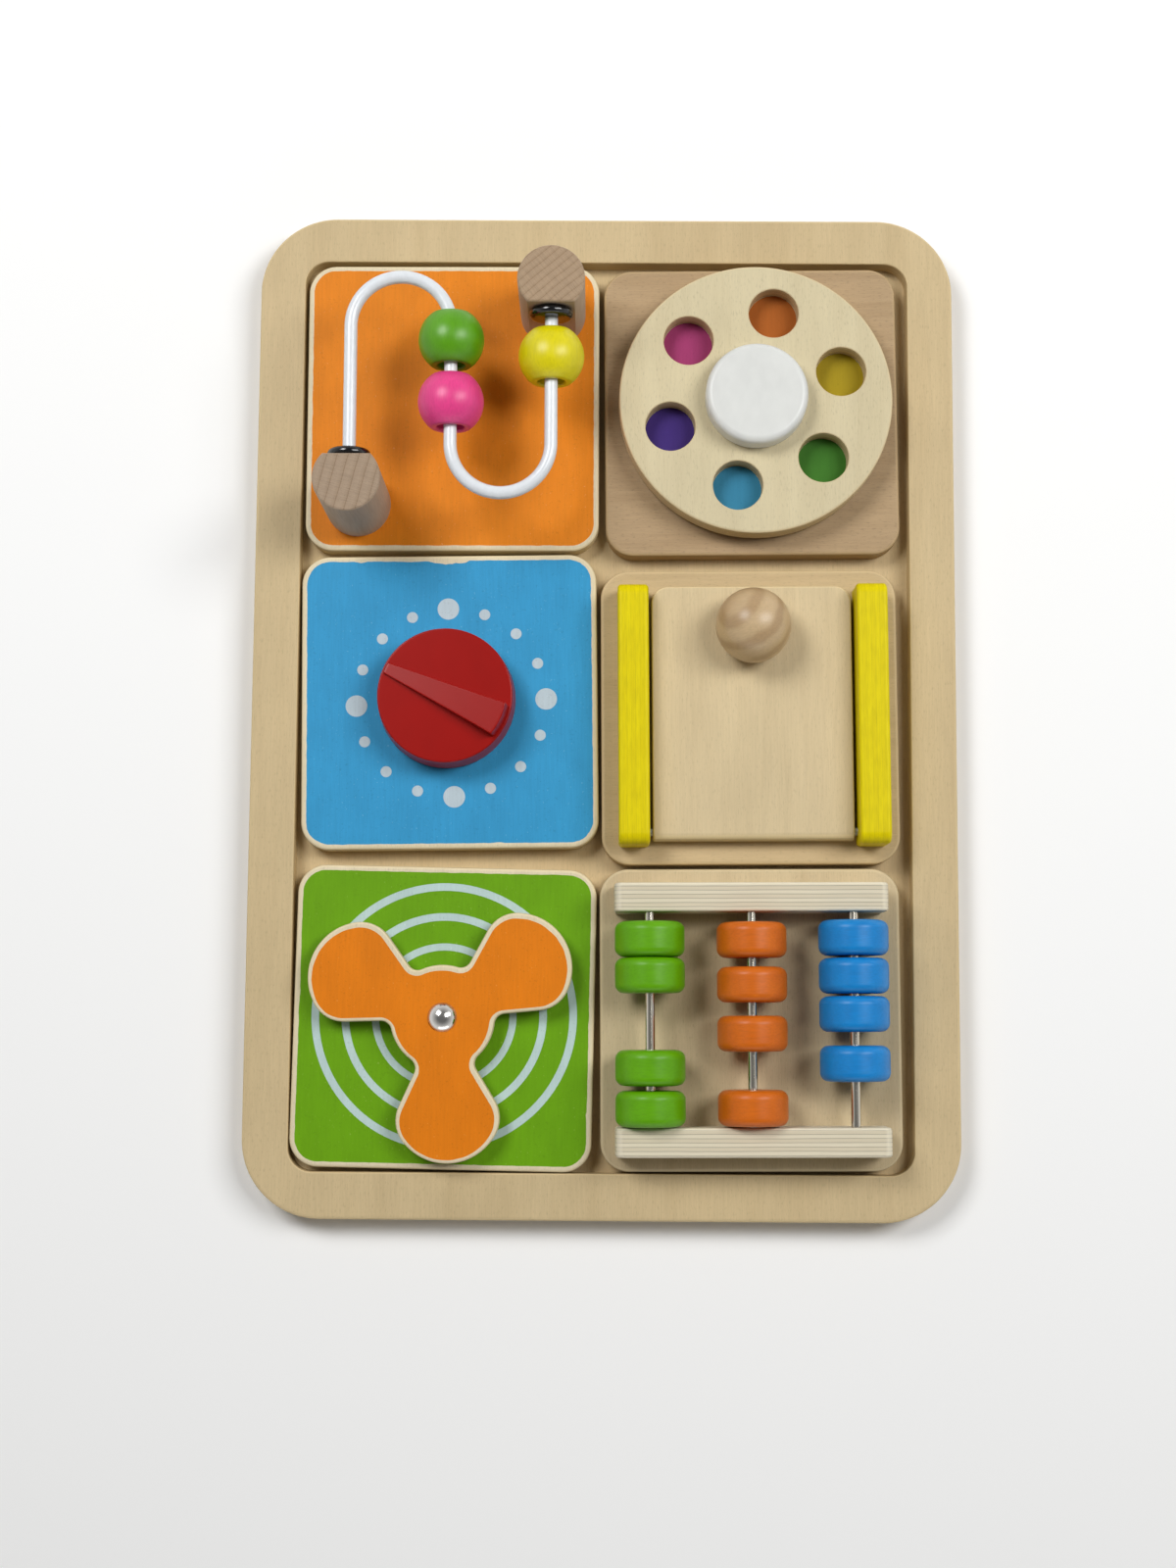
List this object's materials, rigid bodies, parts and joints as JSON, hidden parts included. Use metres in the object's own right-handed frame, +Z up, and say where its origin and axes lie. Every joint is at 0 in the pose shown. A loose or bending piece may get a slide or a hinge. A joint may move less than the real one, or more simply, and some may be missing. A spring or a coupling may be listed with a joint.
{
  "type": "wooden busy board",
  "caption": "Framed wooden tray holding loose square activity tiles: bead maze, finger disc, turning dial, flap door, propeller and bead abacus.",
  "frame": {"origin": "middle of the tray's underside, on the surface it rests on", "axes": "+Z up through the tiles, +Y along the tray's length towards the bead maze, +X across to the right column"},
  "size_m": [0.3, 0.43, 0.063],
  "materials": {
    "tray_ply": "clear satin lacquer on pale plywood",
    "maze_paint": "plywood with a matt orange printed top and bare edges",
    "disc_tile_ply": "bare warm plywood",
    "dial_paint": "plywood with a matt blue printed top, white dots, bare edges",
    "door_ply": "bare plywood",
    "propeller_tile_paint": "plywood with a matt green printed top, pale rings, bare edges",
    "abacus_ply": "bare pale plywood",
    "dowel_wood": "sawn beech dowel with open end grain",
    "screw_steel": "plated screws",
    "wire_coat": "glossy white powder coat",
    "collar_plastic": "glossy black",
    "green_lacquer": "satin lacquered wooden bead",
    "pink_lacquer": "satin lacquered wooden bead",
    "yellow_lacquer": "satin lacquered wooden bead",
    "disc_ply": "pale plywood, milled pockets with painted floors",
    "cap_lacquer": "satin white lacquer",
    "washer_plastic": "hidden spacer washer",
    "axle_steel": "zinc plated",
    "knob_abs": "glossy moulded red",
    "rail_lacquer": "satin yellow lacquer over plywood",
    "ball_wood": "turned wood, clear satin",
    "propeller_paint": "plywood with a matt orange top and bare rounded rim",
    "rivet_chrome": "polished dome",
    "rod_steel": "bright drawn rod",
    "bead_green_lacquer": "satin lacquered wooden bead",
    "bead_orange_lacquer": "satin lacquered wooden bead",
    "bead_blue_lacquer": "satin lacquered wooden bead"
  },
  "bodies": {
    "tray": {"tray_base": "tray_ply", "tray_frame": "tray_ply"},
    "maze_module": {"maze_board": "maze_paint", "post_screws": "screw_steel", "post_left": "dowel_wood", "post_right": "dowel_wood", "maze_wire": "wire_coat", "collar_left": "collar_plastic", "collar_right": "collar_plastic"},
    "green_maze_bead": {"bead_green": "green_lacquer"},
    "pink_maze_bead": {"bead_pink": "pink_lacquer"},
    "yellow_maze_bead": {"bead_yellow": "yellow_lacquer"},
    "disc_module": {"disc_board": "disc_tile_ply", "disc_washer": "washer_plastic", "disc_axle": "axle_steel"},
    "disc": {"colour_disc": "disc_ply", "disc_cap": "cap_lacquer"},
    "dial_module": {"dial_board": "dial_paint", "dial_washer": "washer_plastic"},
    "dial": {"dial_knob": "knob_abs", "dial_axle": "axle_steel"},
    "door_module": {"door_board": "door_ply", "rail_left": "rail_lacquer", "rail_right": "rail_lacquer", "rail_screws": "screw_steel", "hinge_pin": "axle_steel"},
    "door": {"door_panel": "door_ply", "door_knob": "ball_wood", "door_knob_screw": "screw_steel"},
    "propeller_module": {"propeller_board": "propeller_tile_paint", "propeller_spacer": "washer_plastic", "propeller_rivet": "rivet_chrome"},
    "spinner": {"propeller": "propeller_paint"},
    "abacus_module": {"abacus_board": "abacus_ply", "bar_upper": "abacus_ply", "bar_lower": "abacus_ply", "rod_left": "rod_steel", "rod_middle": "rod_steel", "rod_right": "rod_steel", "bar_screws": "screw_steel"},
    "green_one": {"green_bead_one": "bead_green_lacquer"},
    "green_two": {"green_bead_two": "bead_green_lacquer"},
    "green_three": {"green_bead_three": "bead_green_lacquer"},
    "green_four": {"green_bead_four": "bead_green_lacquer"},
    "orange_one": {"orange_bead_one": "bead_orange_lacquer"},
    "orange_two": {"orange_bead_two": "bead_orange_lacquer"},
    "orange_three": {"orange_bead_three": "bead_orange_lacquer"},
    "orange_four": {"orange_bead_four": "bead_orange_lacquer"},
    "blue_one": {"blue_bead_one": "bead_blue_lacquer"},
    "blue_two": {"blue_bead_two": "bead_blue_lacquer"},
    "blue_three": {"blue_bead_three": "bead_blue_lacquer"},
    "blue_four": {"blue_bead_four": "bead_blue_lacquer"}
  },
  "joints": [
    {"name": "maze_lift", "type": "slide", "parent": "tray", "child": "maze_module", "axis": [0, 0, 1], "range_m": [0, 0.03]},
    {"name": "disc_lift", "type": "slide", "parent": "tray", "child": "disc_module", "axis": [0, 0, 1], "range_m": [0, 0.03]},
    {"name": "dial_lift", "type": "slide", "parent": "tray", "child": "dial_module", "axis": [0, 0, 1], "range_m": [0, 0.03]},
    {"name": "door_lift", "type": "slide", "parent": "tray", "child": "door_module", "axis": [0, 0, 1], "range_m": [0, 0.03]},
    {"name": "propeller_lift", "type": "slide", "parent": "tray", "child": "propeller_module", "axis": [0, 0, 1], "range_m": [0, 0.03]},
    {"name": "abacus_lift", "type": "slide", "parent": "tray", "child": "abacus_module", "axis": [0, 0, 1], "range_m": [0, 0.03]},
    {"name": "green_maze_slide", "type": "slide", "parent": "maze_module", "child": "green_maze_bead", "axis": [-0.0035, 1, 0], "range_m": [-0.002, 0.0012]},
    {"name": "pink_maze_slide", "type": "slide", "parent": "maze_module", "child": "pink_maze_bead", "axis": [-0.0035, 1, 0], "range_m": [-0.013, 0.002]},
    {"name": "yellow_maze_slide", "type": "slide", "parent": "maze_module", "child": "yellow_maze_bead", "axis": [-0.0035, 1, 0], "range_m": [-0.03, 0.004]},
    {"name": "disc_spin", "type": "hinge", "parent": "disc_module", "child": "disc", "pos_m": [0.06398, 0.13131, 0.022], "axis": [0, 0, 1], "continuous": true},
    {"name": "dial_turn", "type": "hinge", "parent": "dial_module", "child": "dial", "pos_m": [-0.06661, 0.00278, 0.02], "axis": [0, 0, 1], "continuous": true},
    {"name": "door_hinge", "type": "hinge", "parent": "door_module", "child": "door", "pos_m": [0.06317, -0.05289, 0.0196], "axis": [0.9999, 0.0105, 0], "range_deg": [0, 105]},
    {"name": "propeller_spin", "type": "hinge", "parent": "propeller_module", "child": "spinner", "pos_m": [-0.0662, -0.1313, 0.021], "axis": [0, 0, 1], "continuous": true},
    {"name": "green_one_slide", "type": "slide", "parent": "abacus_module", "child": "green_one", "axis": [-0.0087, 1, 0], "range_m": [-0.0001, 0.00385]},
    {"name": "green_two_slide", "type": "slide", "parent": "abacus_module", "child": "green_two", "axis": [-0.0087, 1, 0], "range_m": [-0.01155, 0.0001]},
    {"name": "green_three_slide", "type": "slide", "parent": "abacus_module", "child": "green_three", "axis": [-0.0087, 1, 0], "range_m": [-0.00095, 0.01155]},
    {"name": "green_four_slide", "type": "slide", "parent": "abacus_module", "child": "green_four", "axis": [-0.0087, 1, 0], "range_m": [-0.00035, 0.00095]},
    {"name": "orange_one_slide", "type": "slide", "parent": "abacus_module", "child": "orange_one", "axis": [-0.0087, 1, 0], "range_m": [-0.00183, 0.0043]},
    {"name": "orange_two_slide", "type": "slide", "parent": "abacus_module", "child": "orange_two", "axis": [-0.0087, 1, 0], "range_m": [-0.00265, 0.00183]},
    {"name": "orange_three_slide", "type": "slide", "parent": "abacus_module", "child": "orange_three", "axis": [-0.0087, 1, 0], "range_m": [-0.00777, 0.00265]},
    {"name": "orange_four_slide", "type": "slide", "parent": "abacus_module", "child": "orange_four", "axis": [-0.0087, 1, 0], "range_m": [-0.0006, 0.00777]},
    {"name": "blue_one_slide", "type": "slide", "parent": "abacus_module", "child": "blue_one", "axis": [-0.0087, 1, 0], "range_m": [-0.00045, 0.0035]},
    {"name": "blue_two_slide", "type": "slide", "parent": "abacus_module", "child": "blue_two", "axis": [-0.0087, 1, 0], "range_m": [-0.00045, 0.00045]},
    {"name": "blue_three_slide", "type": "slide", "parent": "abacus_module", "child": "blue_three", "axis": [-0.0087, 1, 0], "range_m": [-0.00275, 0.00045]},
    {"name": "blue_four_slide", "type": "slide", "parent": "abacus_module", "child": "blue_four", "axis": [-0.0087, 1, 0], "range_m": [-0.0186, 0.00275]}
  ]
}
